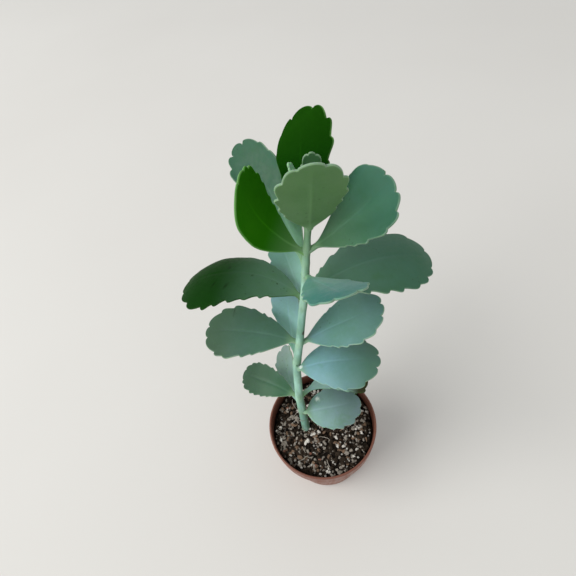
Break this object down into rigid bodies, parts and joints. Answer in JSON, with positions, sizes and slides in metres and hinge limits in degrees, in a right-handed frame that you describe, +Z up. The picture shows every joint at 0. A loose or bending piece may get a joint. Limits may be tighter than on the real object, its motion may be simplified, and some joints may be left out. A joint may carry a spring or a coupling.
{
  "type": "potted plant",
  "caption": "Small potted kalanchoe: thin tapered plastic pot with a collar, dark potting soil, one leaning stem and scalloped, spoon-shaped succulent leaves in opposite pairs.",
  "frame": {"origin": "centre of the pot's flat base", "axes": "+Z up out of the pot; -Y towards the side that the picture looks from; +X to the viewer's right"},
  "size_m": [0.1056, 0.0951, 0.2202],
  "materials": {
    "pot_plastic": "satin terracotta-coloured plastic",
    "soil": "dark potting soil of bark and peat with pale grit",
    "stem_green": "waxy pale green plant stem",
    "leaf_green": "waxy blue-green succulent leaf"
  },
  "bodies": {
    "root": {"pot": "pot_plastic", "soil": "soil", "stem": "stem_green", "leaf_1_front": "leaf_green", "leaf_1_back": "leaf_green", "leaf_2_left": "leaf_green", "leaf_2_right": "leaf_green", "leaf_3_front": "leaf_green", "leaf_3_back": "leaf_green", "leaf_4_left": "leaf_green", "leaf_4_right": "leaf_green", "leaf_5_back": "leaf_green", "leaf_6_left": "leaf_green", "leaf_6_right": "leaf_green", "leaf_7_front": "leaf_green", "leaf_7_back": "leaf_green", "leaf_8_left": "leaf_green", "leaf_8_right": "leaf_green", "leaf_9_front": "leaf_green", "leaf_9_back": "leaf_green", "leaf_10_left": "leaf_green", "leaf_10_right": "leaf_green"}
  },
  "joints": []
}
